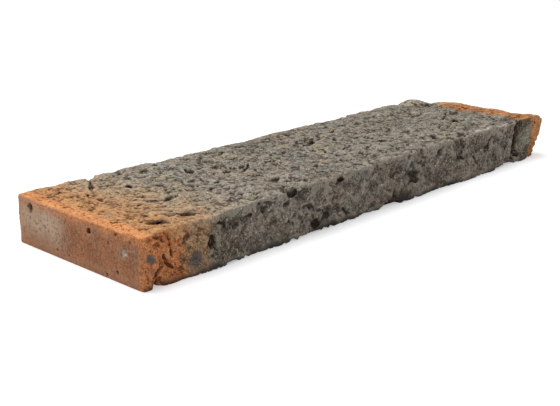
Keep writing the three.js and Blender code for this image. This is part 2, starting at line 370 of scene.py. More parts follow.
# Patches of colour, as for the hollows, with a strength in place of the depth.
TOP_SLAG = [(12.4, 55, 14, 7, 0.6, 10)]
FRONT_SLAG = [(474, 20, 16, 44, 0.55, -8), (482, 24, 14, 38, 1.3, -8)]
HEADER_SLAG = [(22, 23, 12, 10, 0.5, 0)]
FRONT_SLATE = [(7, 22, 7, 8, 1.2, 0), (8, 12.7, 5, 5, 0.7, 0), (47, 11.5, 11, 15, 1, -20)]
# Painted shade in the front's hollows and down the far groove, and soot on dark lumps at its base.
FRONT_SHADE_AND_SOOT = [
    (62, 21, 7, 26, 0.8, -5), (74, 30, 9, 12, 0.5, 0), (84, 30, 12, 9, 0.5, 0), (98, 31, 9, 6, 0.4, 0),
    (113, 33, 10, 6, 0.5, 0), (123, 3, 16, 7, 0.7, 0), (138, 6, 14, 7, 0.4, 0), (150, 35, 24, 9, 0.55, -15),
    (167, 22, 18, 7, 0.4, -25), (169, 11, 15, 8, 0.5, -30), (178, 5, 27, 12, 0.6, 10),
    (184, 3, 22, 7, 0.6, 5), (189, 14, 14, 8, 0.6, -30), (190, 2, 16, 6, 0.7, 0),
    (204, 33, 22, 8, 0.45, -20), (207, 10, 14, 6, 0.6, -30), (223, 23, 9, 6, 0.4, 0),
    (242, 6, 10, 6, 0.6, 0), (254, 15, 16, 12, 0.3, 0), (281, 5, 36, 13, 0.8, 3), (283, 30, 20, 9, 0.4, 0),
    (297, 20, 26, 18, 0.5, 0), (316, 2, 18, 5, 0.6, 0), (337, 33, 14, 8, 0.6, 20), (353, 2, 20, 5, 0.6, 0),
    (365, 23, 11, 9, 0.5, 0), (372, 32, 13, 9, 0.5, 0), (389, 28, 9, 12, 0.4, 0), (392, 3, 14, 6, 0.4, 0),
    (405, 13, 8, 8, 0.4, 0), (410, 22, 9, 15, 0.5, -20), (452, 5, 18, 10, 0.3, 0),
    (464, 20, 7, 50, 0.6, -10), (469, 36, 9, 7, 0.5, 0),
]
# Painted shade in the hollows and cracks of the struck face, and under the lump at its far back corner.
TOP_SHADE = [
    (21, 122, 9, 5, 0.6, WIPE), (29.5, 19.5, 15, 10, 1, WIPE), (52, 20, 30, 3.4, 0.8, -39),
    (73, 57, 11, 7, 1, CROSS), (130, 102, 12, 7, 0.9, CROSS), (142, 7, 28, 9, 0.45, -50),
    (153, 29, 16, 9, 0.5, -20), (193, 10, 26, 7, 0.4, WIPE), (435, 55, 32, 3, 0.5, 78),
    (455, 22, 40, 3, 0.5, 69), (460, 42, 34, 2.6, 0.5, 88), (460, 124.5, 42, 3.2, 0.6, -36),
    (475, 61, 28, 2.6, 0.5, -83), (483, 60, 26, 6, 0.3, 80),
]
FRONT_TAN = [
    (22.5, 5, 9, 6, 0.4, 0), (23.5, 22, 6, 14, 0.7, 10), (26.5, 34, 6, 7, 0.6, 0), (37, 20, 10, 16, 0.4, 0),
]
HEADER_SCUFFS = [(19, 23.6, 3.2, 8, 1, 25)]
# Scuffs, and a painted highlight along the front arris of the struck face.
TOP_SCUFFS_AND_HIGHLIGHTS = [
    (339, 17, 16, 8, 0.3, -20), (425, 1.5, 110, 3.5, 0.55, 0), (468, 136, 32, 15, 0.4, -36),
    (487, 137, 24, 16, 0.4, 0),
]
TOP_TAN = [
    (118, 8, 50, 10, 0.1, 0), (206, 30, 18, 12, 0.4, 0), (230, 41, 24, 14, 0.5, 20),
    (256, 72, 30, 14, 0.5, 30), (352, 136, 12, 10, 0.7, 0), (468, 136, 36, 20, 1, -36),
]
TOP_RUST = [
    (153, 28, 20, 14, 0.6, 0), (174, 7, 18, 10, 0.5, 0), (288, 95, 20, 14, 0.4, 20),
    (443, 110, 16, 10, 0.7, -30),
]


# ---------------- the clay's relief

VOXEL = 0.0008
TRIANGLES = 192_000

# Where the relief changes, in millimetres: spans along or across the brick, or of height over the bed.
SAND_EDGE = (0.5, 2.5)       # the sanded header gives way to the other faces
NEAR_LIP = (3, 16)           # the smooth lip of the near end ends
FAR_LIP = (476, 490)         # the smooth lip of the far end starts
WIPE_FADE = (70, 130)        # the wiping fades out
NOSE_END = (34, 46)          # the creased near corner ends
CALM_END = (34, 66)          # the calm stretch of the back arris ends
CALM_EDGE = (WIDTH - 16, WIDTH - 5)
BACK_EDGE = (WIDTH - 14, WIDTH - 4)
NIBBLE_START = (30, 50)      # the nibbled lower arris starts
FOOT = (1, 6)                # the sides stand on their lower arris
BED_EDGE = (0.2, 1.0)        # the bed gives way to the lower arris
TOP_ARRIS = (28, 34)         # the sides give way to the struck face

# How deep each kind of relief is, in millimetres, on the struck face and on the sides.
CRUMBS = (0.65, 0.45)
SMALL_CRUMBS = (0.25, 0.12)
LARGE_TEARS = (1.9, 1.3)
SMALL_TEARS = (1.3, 0.5)
TINY_PITS = (0.4, 0.25)

# Kinds that are as deep on every face.
LARGE_PITS = 2.8
MIDDLE_PITS = 2.2
SMALL_PITS = 1.2
SEAMS = 0.7
SKIN_LEVEL = 0.45            # how far the skin is raised to make up for what is torn away
KEEN_DROP = 0.7              # how far the lower arris is brought down to the floor
NIBBLES = 2.4
BED_HOLLOWS = 0.35
SAND_GRAIN = 0.12


def shaped_clay():
    """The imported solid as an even, softened mesh that can take fine relief."""
    clay = bpy.data.objects.new("brick_clay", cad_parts["brick"].data.copy())
    bpy.context.scene.collection.objects.link(clay)
    applied(clay, "even", "REMESH", mode="VOXEL", voxel_size=VOXEL)
    applied(clay, "soften", "SMOOTH", factor=0.5, iterations=4)
    return clay


def looseness(spots, sanded, resting):
    """How freely the clay is torn: not on the header or the bed, less on lips and the back arris."""
    lip = np.maximum(spots.before(*NEAR_LIP), spots.past(*FAR_LIP))
    calm = spots.before(*CALM_END) * spots.behind(*CALM_EDGE) * spots.over(*TOP_ARRIS)
    back_arris = spots.behind(*BACK_EDGE) * spots.over(*TOP_ARRIS)
    kept = np.maximum(0.75 * calm, 0.4 * back_arris)
    return (1 - sanded) * (1 - resting) * (1 - mix(0.6, 0.15, spots.side) * lip) * (1 - kept)


def torn_skin(drift, ragged, side, crowd):
    """The depth of crumbs, of the seams between them and of torn hollows."""
    big, big_seams = plates(ragged, cell_size=13, seed=21)
    small, small_seams = plates(ragged, cell_size=5.5, seed=23)
    split = SEAMS * smoothstep(noise(drift, wavelength=26, seed=25), 0.0, 0.4) * (1 - side)
    depth = mix(*CRUMBS, side) * big + mix(*SMALL_CRUMBS, side) * small
    depth += split * (big_seams + 0.5 * small_seams)
    depth += crowd * mix(*LARGE_TEARS, side) * tears(ragged, wavelength=23, seed=81, share=0.22)
    depth += crowd * mix(*SMALL_TEARS, side) * tears(ragged, wavelength=10, seed=83, share=0.28)
    return depth


def scattered_pits(ragged, side, wiped, crowd):
    """The depth of ragged pits in four sizes. Wiping closed some of the small ones."""
    small = crowd * SMALL_PITS * pits(ragged, cell_size=5.2, chance=0.36, radii=(0.14, 0.30), seed=41)
    small += mix(*TINY_PITS, side) * pits(ragged, cell_size=3.2, chance=0.4, radii=(0.2, 0.36), seed=43)
    large = crowd * np.maximum(
        LARGE_PITS * pits(ragged, cell_size=16, chance=0.42, radii=(0.16, 0.34), seed=31),
        MIDDLE_PITS * pits(ragged, cell_size=9, chance=0.36, radii=(0.14, 0.32), seed=37),
    )
    return np.maximum(large, (1 - 0.6 * wiped) * small)


def drawn_out_folds(spots, ragged, wiped):
    """The depth of fine folds that the wiping drew out, and of creases on the near corner."""
    with_wipe = 0.4 * (0.7 * spots.along - 0.7 * spots.across)
    across_wipe = 0.7 * spots.along + 0.7 * spots.across
    wiping = np.stack([with_wipe, across_wipe, ragged[:, UP]], axis=1)
    folds = creases(wiping, wavelength=7.5, width=0.05, seed=45)
    folds += 1.1 * tears(wiping, wavelength=7, seed=47, share=0.36)
    on_nose = spots.side * spots.before(*NOSE_END) * creases(ragged, wavelength=11, width=0.07, seed=49)
    return np.maximum(wiped, 0.6 * spots.top) * folds + on_nose


def named_hollows(spots, places, wiped):
    """The depth of the hollows that the photograph shows. places wander a little."""
    top = gouges(own_pairs(places, *ON_TOP), TOP_HOLLOWS)
    front = gouges(own_pairs(places, *ON_FRONT), FRONT_HOLLOWS)
    header = gouges(own_pairs(spots.points, *ON_HEADER), HEADER_HOLLOWS)
    return spots.top * top * (1 + 0.4 * wiped) + spots.front * front + spots.near * header


def lower_edges(heights, spots, sanded, resting, crowd):
    """heights with keen, nibbled lower arrises, and a bed that rests on its high spots."""
    heights = heights - KEEN_DROP * (1 - smoothstep(heights, 0.4, 2.2))
    outer = 1 - smoothstep(np.minimum(spots.across, WIDTH - spots.across), 1, 7)
    drawn = spots.points * (1, 0.3, 0.3)
    nibbled = np.maximum(tears(drawn, wavelength=13, seed=89, share=0.1),
                         0.55 * crowd * tears(drawn, wavelength=5.5, seed=97, share=0.0))
    nibbled *= outer * spots.under(*FOOT)
    heights += NIBBLES * nibbled * (1 - sanded) * spots.past(*NIBBLE_START)
    bed = BED_HOLLOWS * resting * np.maximum(0, 0.15 + fbm(spots.points, wavelength=13, seed=93))
    return np.maximum(heights, bed)


def roughened(points, n):
    """points, which face the way of n, moved into the torn, pitted surface of the fired clay."""
    spots = Spots(points, n)
    side = spots.side
    sanded = spots.near * spots.before(*SAND_EDGE)
    resting = spots.bed * spots.under(*BED_EDGE)
    foot = side * spots.under(*FOOT)
    wiped = spots.top * spots.before(*WIPE_FADE, 12 * noise(points, wavelength=30, seed=2))
    loose = looseness(spots, sanded, resting)

    # Everything wanders a little, so that no hollow or arris stays regular.
    wander = 0.5 * noise_vector(points, wavelength=17, seed=3)
    wander += 0.4 * noise_vector(points, wavelength=6, seed=5)
    moved = points + wander * (loose * (1 - 0.5 * foot))[:, None]
    drift = moved + 4 * noise_vector(moved, wavelength=34, seed=9)
    ragged = drift + 2.0 * noise_vector(moved, wavelength=7, seed=11)
    ragged += 0.9 * noise_vector(moved, wavelength=2.8, seed=13)
    crowd = mix(0.55, 1.35, smoothstep(noise(drift, wavelength=48, seed=33), -0.35, 0.35))

    torn = torn_skin(drift, ragged, side, crowd)
    holes = scattered_pits(ragged, side, wiped, crowd)
    lumps = 0.6 * fbm(moved, wavelength=26, seed=51, octaves=2)
    lumps += 0.3 * fbm(moved, wavelength=6.5, seed=53, gain=0.6)
    depth = (1 - 0.65 * wiped) * torn + mix(1, 0.45, side) * holes - lumps - SKIN_LEVEL
    depth = loose * (depth + drawn_out_folds(spots, ragged, wiped))
    depth = depth * (1 - 0.3 * foot) - 0.4 * foot * (1 - sanded)
    depth += SAND_GRAIN * sanded * fbm(points, wavelength=2.2, seed=61, octaves=2)
    wandering = ragged - drift + points + 1.3 * noise_vector(moved, wavelength=4.5, seed=19)
    depth += named_hollows(spots, wandering, wiped)

    moved = moved - n * depth[:, None]
    moved[:, UP] = lower_edges(moved[:, UP], spots, sanded, resting, crowd)
    return moved


def kept_inside(points):
    """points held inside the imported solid's box."""
    return np.clip(points, np.array(LOW) / MM, np.array(HIGH) / MM)


# ---------------- where the clay's colours and painted shade lie

# Spans along the brick, heights over the bed, and distances across it, in millimetres.
BARE_SIDE_END = (27, 42)     # most of the bare clay of the near end fades out on the sides
STAIN_SIDE_END = (50, 72)    # the rest of it does
BARE_TOP_END = (108, 94)     # it is gone on top, at the front and at the back
RECESS_START = (464, 469)    # the recess behind the far groove
RECESS_END = (490, 494)
RECESS_DEPTH = (12, 18)      # how far it reaches across the brick
FAR_SIDE = 487               # where the bare clay of the far end starts on the sides
FAR_SIDE_LEAN = 4            # how far that moves near the bed
FAR_BARE = [(0, 472), (20, 470), (45, 473), (70, 474), (97, 474)]   # and on top: across, along
CRUST_CORNER = (470, 95)     # where the crust starts to run on over the back corner: along, across
CRUST_SLANT = 0.72           # how fast its edge goes back from there
TOP_EDGE = (28, 31)          # the sides' patches give way to the struck face's
# How far the front's painted shade and soot reach into its hollows.
SHADE_AND_SOOT_DEPTH = 30              # how far the front's soot reaches into its hollows

# The pale patch on the header: its middle and its radii, across and up.
PALE_MIDDLE = (121, 24)
PALE_RADII = (37, 19)

# How strong the bare rim along the header's top is, at places across it.
RIM_PLACES = (30, 55, 95, 108)
RIM_STRENGTHS = (1, 0.65, 0.6, 0.4)


def hollowness(spots, broad, pairs):
    """How far points lie in a hollow, 0 to 1, or stand out, 0 to -1."""
    fine = averaged(spots.points, pairs, rounds=3)
    coarse = averaged(fine, pairs, rounds=36)
    fine_depth = dots(fine - spots.points, broad)
    coarse_depth = dots(coarse - spots.points, broad)
    hollow = np.clip(fine_depth / 0.25, -1, 1) * 0.35 + np.clip(coarse_depth / 1.2, -1, 1) * 0.65
    recess = spots.past(*RECESS_START) * spots.before(*RECESS_END) * spots.ahead(*RECESS_DEPTH)
    bed = smoothstep(-broad[:, UP], 0.6, 0.9)
    return hollow * (1 - 0.8 * np.maximum(recess, bed))


def bare_near(spots, wobble):
    """Bare clay from the near end: it fades slowly into the crust on top, and soon on the sides."""
    top_end = mix(*BARE_TOP_END, spots.behind(60, 130))
    on_top = (1 - np.clip((spots.along + wobble) / top_end, 0, 1)) ** 1.2
    on_side = 1 - 0.6 * spots.past(*BARE_SIDE_END, 0.8 * wobble)
    on_side -= 0.4 * spots.past(*STAIN_SIDE_END, 1.4 * wobble)
    return mix(on_side, on_top, spots.top)


def bare_far(spots, wobble):
    """Bare clay of the far end, and the grime along its edge on top."""
    top_start = np.interp(spots.across, *zip(*FAR_BARE))
    start = mix(FAR_SIDE - FAR_SIDE_LEAN * spots.under(4, 20), top_start, spots.top)
    bare = spots.past(start - 1.5, start + 1.5, 0.3 * wobble)
    # The crust runs on over the back corner. Its edge slants back from a place on the struck face.
    along, across = CRUST_CORNER
    crusted = smoothstep(spots.across - across - CRUST_SLANT * (spots.along - along) + 0.4 * wobble, -3, 4)
    bare *= 1 - crusted * spots.over(12, 30, 0.8 * wobble)
    grime = spots.top * bare * (1 - smoothstep(spots.along + 0.6 * wobble - start, 2, 15))
    return bare, grime


def header_rim(spots, wobble):
    """The bare rim of the sanded header: the front corner, the top and, faintly, the back corner."""
    wander = 0.2 * wobble
    top = np.interp(spots.across, RIM_PLACES, RIM_STRENGTHS) * spots.over(31, 34.5, wander)
    return np.maximum.reduce([spots.ahead(2, 6, wander), top, 0.5 * spots.behind(144, 147, wander)])


def pale_sand(spots, wobble):
    """The pale patch near the back of the header."""
    across, up = PALE_MIDDLE
    reach = np.hypot((spots.across - across) / PALE_RADII[0], (spots.up - up) / PALE_RADII[1])
    return 1 - smoothstep(reach + 0.03 * wobble, 0.35, 1.3)


def umber_shade(spots, wobble):
    """Brown crust on the sides, next to the bare clay of the near end and behind the far groove."""
    return spots.side * np.maximum(spots.before(60, 115, 1.5 * wobble), 0.8 * spots.past(463, 467))


def dusky_shade(spots):
    """Darker stretches low and high on the sides, and at the header's front corner."""
    return np.maximum.reduce([
        spots.side * spots.past(32, 46) * spots.before(72, 110) * spots.under(4, 26),
        0.3 * spots.side * spots.past(456, 464) * spots.before(484, 488) * spots.under(4, 20),
        0.35 * spots.near * spots.ahead(10, 22),
        0.4 * spots.side * spots.past(34, 56) * spots.before(150, 190) * spots.over(21, 30),
    ])


def paler_top(spots, wobble):
    """The paler crust past the wiped part of the struck face, less so at the front."""
    paler = spots.past(60, 95, wobble) * spots.before(140, 215, wobble)
    paler *= 1 - 0.6 * spots.past(105, 125) * spots.ahead(50, 64)
    return spots.top * paler


def kiln_marks_and_painted_light(mesh):
    """Stores on each vertex, for the shader, where the clay is bare, stained, hollow and so on, and where
    shade and highlights are painted.
    """
    points, n, pairs = coordinates(mesh), normals(mesh), edges(mesh)
    broad = unit(averaged(n, pairs, rounds=24))
    spots = Spots(points, unit(averaged(n, pairs, rounds=8)), 0.5, 0.78)
    wobble = 7 * fbm(points, wavelength=30, seed=71) + 3 * noise(points, wavelength=6, seed=73)
    bare, grime = bare_far(spots, wobble)
    shoulder = 0.7 * spots.side * spots.past(22, 32) * spots.before(42, 58) * spots.over(26, 35)

    wandering = points + 0.7 * noise_vector(points, wavelength=4, seed=75)
    on_top, on_front, on_header = (own_pairs(wandering, *axes) for axes in (ON_TOP, ON_FRONT, ON_HEADER))
    by_top = spots.over(*TOP_EDGE)
    facing_front = smoothstep(-broad[:, ACROSS], 0.0, 0.4)
    # The named hollows, for the painted shadow in them.
    dents = np.maximum.reduce([
        gouges(on_top, TOP_HOLLOWS) * by_top,
        0.55 * gouges(on_front, FRONT_HOLLOWS) * spots.ahead(10, 14),
        1.5 * gouges(on_header, HEADER_HOLLOWS) * spots.before(3, 5),
    ])
    slag = (spots.top * gouges(on_top, TOP_SLAG) + spots.front * gouges(on_front, FRONT_SLAG)
            + spots.near * gouges(on_header, HEADER_SLAG))
    # Painted shade in hollows, the far groove and under the far lump, with soot at the front's base.
    soot_and_shade = (1 - spots.top) * gouges(on_front, FRONT_SHADE_AND_SOOT) * (spots.across < SHADE_AND_SOOT_DEPTH)
    soot_and_shade += by_top * gouges(on_top, TOP_SHADE)

    marks = {
        "bare": bare_near(spots, wobble),
        "far": bare,
        "lip": spots.before(5, 16, 0.3 * wobble),
        "topside": np.maximum(spots.top, shoulder),
        # How hollow or raised the clay is, for painted shade in hollows and painted highlights on high spots.
        "hollow": hollowness(spots, broad, pairs),
        "dent": np.clip(dents / 2.2, 0, 1),
        "paler": paler_top(spots, wobble),
        "umber": umber_shade(spots, wobble),
        "dusk": dusky_shade(spots),
        # Painted shade along the foot of the sides, by the floor.
        "under": spots.side * spots.under(1, 5, 3 * noise(points, wavelength=16, seed=77)),
        "grime": grime,
        "sanded": smoothstep(-broad[:, ALONG], 0.5, 0.9) * (1 - header_rim(spots, wobble)),
        "pale": pale_sand(spots, wobble),
        "slag": slag,
        "slate": facing_front * gouges(on_front, FRONT_SLATE),
        "soot_and_shade": soot_and_shade,
        # Real scuffs, and the painted highlight along the top's front arris.
        "scuff_and_highlight": spots.near * gouges(on_header, HEADER_SCUFFS) + spots.top * gouges(on_top, TOP_SCUFFS_AND_HIGHLIGHTS),
        "tan": spots.top * gouges(on_top, TOP_TAN),
        "dust": facing_front * gouges(on_front, FRONT_TAN),
        "rust": spots.top * gouges(on_top, TOP_RUST),
    }
    for name, values in marks.items():
        attribute = mesh.attributes.new(name, "FLOAT", "POINT")
        attribute.data.foreach_set("value", values.astype(np.float32))


def brick_surface():
    """The brick as it shows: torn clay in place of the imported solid."""
    clay = shaped_clay()
    mesh = clay.data
    points = roughened(coordinates(mesh), normals(mesh))
    set_coordinates(mesh, kept_inside(points))
    # Each face of the even mesh is a quad, so two triangles.
    applied(clay, "thin", "DECIMATE", ratio=TRIANGLES / (2 * len(mesh.polygons)))
    set_coordinates(clay.data, kept_inside(coordinates(clay.data)))
    kiln_marks_and_painted_light(clay.data)
    for polygon in clay.data.polygons:
        polygon.use_smooth = True
    clay.data.set_sharp_from_angle(angle=math.radians(60))
    clay.data.materials.clear()
    clay.data.materials.append(fired_clay())
    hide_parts("brick")
    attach(clay, "root")


# ---------------- materials

# Colours of the clay, as display values of 0 to 255. A pair is the two ends of a blotchy colour.
CRUST = (121, 113, 101), (101, 91, 78)
BLUE_GREY = (107, 110, 107)
PINKISH = (136, 115, 102)
OCHRE = (138, 118, 84)
UMBER = (86, 70, 49)
CRUST_TAN = (158, 142, 108)
CRUST_RUST = (128, 92, 70)
STAINED_SIDE = (136, 108, 70)
STAINED_TOP = (184, 150, 110), (160, 140, 112)
BROWN = (206, 154, 102), (170, 128, 86)
SIDE_RIM = (246, 163, 98)
TOP_RIM = (234, 156, 98), (210, 129, 74)
RED = (208, 117, 66), (176, 94, 48)
EMBER = (202, 142, 92), (172, 110, 62)
GRIME = (136, 108, 78)
SAND = (184, 119, 76), (160, 101, 67)
GREY_SAND = (150, 108, 81)
PALE_SAND = (219, 196, 168), (203, 179, 153)
SAND_SPECK = (116, 78, 54)
SLAG = (140, 137, 118)
DUST = (212, 150, 94)
# A scuff's colour, also used for the painted highlight along the top's front arris.
SCUFF_AND_HIGHLIGHT = (225, 214, 200)
SLATE = (88, 87, 88)
# The colour of soot and of the painted shade in hollows.
SOOT_AND_SHADE = (36, 28, 22)
# Painted shade at the foot of the sides.
FLOOR_SHADE = (40, 34, 30)
FLECK = (205, 196, 180)
SAND_LIGHT = (206, 160, 126)

# Lighter and darker flecks, and the painted shadow in hollows: in the crust, and in bare clay. The flecks'
# colours also paint highlights on high spots and shade in pores and cracks.
LIGHT = (214, 205, 188), (232, 170, 116)
DARK = (58, 47, 37), (92, 50, 28)
SHADOW = (48, 38, 30), (76, 44, 28)

# What a colour is multiplied by, as linear values.
CRUST_BRIGHT = (1.22, 1.19, 1.16, 1)
CRUST_DIM = (0.86, 0.83, 0.79, 1)
CRUST_PATCH = (0.74, 0.69, 0.64, 1)
CRUST_PALER = (1.34, 1.33, 1.30, 1)
DUSK = (0.60, 0.57, 0.52, 1)

# A Mix node's colour sockets share their names with its other sockets, so they go by number.
MIX_A, MIX_B, MIX_RESULT = 6, 7, 2


def linear(red, green, blue):
    """A display colour, 0 to 255, as a linear colour with alpha."""
    def channel(value):
        value /= 255
        return value / 12.92 if value <= 0.04045 else ((value + 0.055) / 1.055) ** 2.4
    return channel(red), channel(green), channel(blue), 1


class Nodes:
    """Short ways to add and join shader nodes."""

    def __init__(self, name):
        self.material = bpy.data.materials.new(name)
        self.material.use_nodes = True
        self.tree = self.material.node_tree
        self.tree.nodes.clear()

    def add(self, kind, inputs=(), **settings):
        node = self.tree.nodes.new("ShaderNode" + kind)
        for key, value in settings.items():
            setattr(node, key, value)
        for key, value in dict(inputs).items():
            self.feed(node.inputs[key], value)
        return node

    def feed(self, socket, value):
        """Links a socket to value, or sets it to a plain value."""
        if isinstance(value, bpy.types.NodeSocket):
            self.tree.links.new(value, socket)
        else:
            socket.default_value = value

    def attribute(self, name):
        return self.add("Attribute", attribute_name=name).outputs["Fac"]

    def noise(self, place, scale, detail, roughness=0.6):
        inputs = {"Vector": place, "Scale": scale, "Detail": detail, "Roughness": roughness}
        return self.add("TexNoise", inputs).outputs["Fac"]

    def wander(self, place, scale, reach):
        """A vector of noise up to about reach long, in metres."""
        noise = self.add("TexNoise", {"Vector": place, "Scale": scale, "Detail": 2.0})
        inputs = {"Vector": noise.outputs["Color"], "Scale": reach}
        return self.add("VectorMath", inputs, operation="SCALE").outputs[0]

    def added(self, a, b):
        """The sum of two vectors."""
        return self.add("VectorMath", {0: a, 1: b}, operation="ADD").outputs[0]

    def pores(self, place, scale, size, chance):
        """1 inside scattered small holes. size is a share of their spacing."""
        cells = self.add("TexVoronoi", {"Vector": place, "Scale": scale})
        inside = self.ramp(cells.outputs["Distance"], size, size * 0.55)
        pick = self.add("SeparateColor", {"Color": cells.outputs["Color"]}).outputs["Red"]
        return self.times(inside, self.math("LESS_THAN", pick, chance))

    def ramp(self, value, low, high, to_low=0.0, to_high=1.0):
        """value's way from low to high, as to_low to to_high."""
        inputs = {"Value": value, "From Min": low, "From Max": high, "To Min": to_low, "To Max": to_high}
        return self.add("MapRange", inputs, clamp=True).outputs["Result"]

    def math(self, operation, a, b, clamp=False):
        return self.add("Math", {0: a, 1: b}, operation=operation, use_clamp=clamp).outputs[0]

    def times(self, a, b, clamp=False):
        return self.math("MULTIPLY", a, b, clamp)

    def larger(self, a, b):
        return self.math("MAXIMUM", a, b)

    def blend(self, share, a, b, mode="MIX"):
        """a where share is 0, b, or b's effect on a, where it is 1."""
        node = self.add("Mix", data_type="RGBA", blend_type=mode)
        self.feed(node.inputs["Factor"], share)
        self.feed(node.inputs[MIX_A], a)
        self.feed(node.inputs[MIX_B], b)
        return node.outputs[MIX_RESULT]

    def painted(self, colour, share, display):
        """colour with a display colour over a share of it."""
        return self.blend(share, colour, linear(*display))

    def between(self, share, a, b):
        """The number a where share is 0, b where it is 1."""
        return self.ramp(share, 0, 1, a, b)

    def blotches(self, place, scale, detail, low, high, strength=1.0):
        """Blotches as strong as strength where the noise is over high, and 0 where it is under low."""
        return self.ramp(self.noise(place, scale, detail), low, high, 0, strength)

    def blotchy(self, pair, *blotches):
        """The first display colour of pair, with blotches of the second."""
        first, second = pair
        return self.blend(self.blotches(*blotches), linear(*first), linear(*second))


class FiredClay(Nodes):
    """The one clay material, in layers that follow the marks stored on each vertex, painted shade and
    highlights among them.
    """

    def __init__(self):
        super().__init__("fired_clay")
        self.place = self.add("TexCoord").outputs["Object"]
        # The same place moved well away, for noise unlike the first.
        self.shifted = self.added(self.place, (0.71, 0.37, 0.53))
        self.speck = self.noise(self.place, 420, 4, roughness=0.7)
        self.grain = self.noise(self.place, 900, 3, roughness=0.7)
        self.bare = self.attribute("bare")
        self.far = self.attribute("far")
        self.lip = self.attribute("lip")
        self.topside = self.attribute("topside")
        self.off_top = self.ramp(self.topside, 1, 0)
        self.hollow = self.attribute("hollow")
        self.sanded = self.attribute("sanded")
        # Warm where the clay is bare, for the colours of flecks and shadows.
        self.warm = self.larger(self.ramp(self.bare, 0.15, 0.7), self.larger(self.sanded, self.far))
        self.dark = self.either(DARK)

    def either(self, pair):
        """The crust's or the bare clay's colour of a pair."""
        in_crust, in_bare_clay = pair
        return self.blend(self.warm, linear(*in_crust), linear(*in_bare_clay))

    def cracks(self):
        """Cracks that wander over the struck face, drawn out the way it was wiped."""
        wiping = self.added(self.place, self.wander(self.shifted, scale=75.0, reach=0.011))
        inputs = {"Vector": wiping, "Rotation": (0, 0, math.radians(WIPE)), "Scale": (2.0, 1, 1)}
        wiping = self.add("Mapping", inputs, vector_type="TEXTURE").outputs[0]
        inputs = {"Vector": wiping, "Scale": 120.0}
        seams = self.add("TexVoronoi", inputs, feature="DISTANCE_TO_EDGE").outputs["Distance"]
        cracks = self.times(self.ramp(seams, 0.09, 0.03), self.topside)
        cracks = self.times(cracks, self.blotches(self.place, 75, 2, 0.47, 0.56))
        return self.times(cracks, self.between(self.lip, 1, 0.2))

    def skin_pores(self):
        """Small pores in two sizes, few on the sanded header."""
        ragged = self.added(self.place, self.wander(self.shifted, scale=320.0, reach=0.0022))
        pores = self.larger(self.pores(ragged, 260, size=0.36, chance=0.42),
                            self.pores(ragged, 520, size=0.36, chance=0.35))
        return self.times(pores, self.between(self.sanded, 1, 0.12))

    def crust(self):
        """The kiln's crust, blotched warm grey, brown, blue-grey, pinkish and ochre."""
        place, shifted = self.place, self.shifted
        crust = self.blotchy(CRUST, place, 30, 2, 0.42, 0.60)
        crust = self.painted(crust, self.blotches(shifted, 34, 2, 0.5, 0.64, 0.6), BLUE_GREY)
        crust = self.painted(crust, self.blotches(place, 48, 2, 0.54, 0.66, 0.6), PINKISH)
        ochre = self.times(self.blotches(shifted, 42, 2, 0.54, 0.66, 0.5), self.topside)
        crust = self.painted(crust, ochre, OCHRE)
        shade = self.blend(self.blotches(shifted, 44, 3, 0.40, 0.60), CRUST_BRIGHT, CRUST_DIM)
        shade = self.blend(self.blotches(place, 21, 3, 0.42, 0.58, 0.8), shade, CRUST_PATCH, "MULTIPLY")
        crust = self.blend(self.off_top, crust, self.blend(1.0, crust, shade, "MULTIPLY"))
        crust = self.painted(crust, self.times(self.attribute("umber"), 0.95, clamp=True), UMBER)
        crust = self.painted(crust, self.attribute("tan"), CRUST_TAN)
        crust = self.painted(crust, self.attribute("rust"), CRUST_RUST)
        return self.blend(self.attribute("paler"), crust, CRUST_PALER, "MULTIPLY")

    def with_bare_ends(self, crust):
        """The crust with bare clay at both ends: stained, then brown, then red, and bright on the lip."""
        place, shifted = self.place, self.shifted
        stain = self.blotchy(STAINED_TOP, shifted, 70, 2, 0.44, 0.60)
        stain = self.blend(self.topside, linear(*STAINED_SIDE), stain)
        rim = self.blotchy(TOP_RIM, place, 110, 3, 0.45, 0.62)
        rim = self.blend(self.topside, linear(*SIDE_RIM), rim)
        brown = self.blotchy(BROWN, place, 80, 2, 0.42, 0.6)
        red = self.blotchy(RED, place, 90, 3, 0.42, 0.62)
        grime = self.times(self.attribute("grime"), self.blotches(shifted, 150, 3, 0.40, 0.56))
        ember = self.painted(self.blotchy(EMBER, place, 120, 3, 0.42, 0.6), grime, GRIME)
        colour = self.blend(self.ramp(self.bare, 0.0, 0.4), crust, stain)
        colour = self.blend(self.ramp(self.bare, 0.3, 0.8), colour, brown)
        colour = self.blend(self.lip, colour, rim)
        on_side = self.ramp(self.topside, 0.6, 0.1)
        colour = self.blend(self.times(self.ramp(self.bare, 0.4, 0.9), on_side), colour, red)
        return self.blend(self.far, colour, ember)

    def with_sanded_header(self, colour):
        """colour with the sand that the near header was moulded in."""
        sand = self.blotchy(SAND, self.place, 42, 3, 0.42, 0.6)
        sand = self.painted(sand, self.blotches(self.shifted, 75, 3, 0.46, 0.60, 0.6), GREY_SAND)
        sand = self.blend(self.attribute("pale"), sand, self.blotchy(PALE_SAND, self.place, 55, 3, 0.42, 0.6))
        sand = self.painted(sand, self.ramp(self.grain, 0.38, 0.66, 0.0, 0.6), SAND_SPECK)
        return self.blend(self.sanded, colour, sand)

    def with_patches(self, colour):
        """colour with patches of slag, dust and scuffs, a painted highlight along the top's front arris, and
        dusky stretches.
        """
        for mark, display in (("slag", SLAG), ("dust", DUST), ("scuff_and_highlight", SCUFF_AND_HIGHLIGHT)):
            colour = self.painted(colour, self.attribute(mark), display)
        return self.blend(self.attribute("dusk"), colour, DUSK, "MULTIPLY")

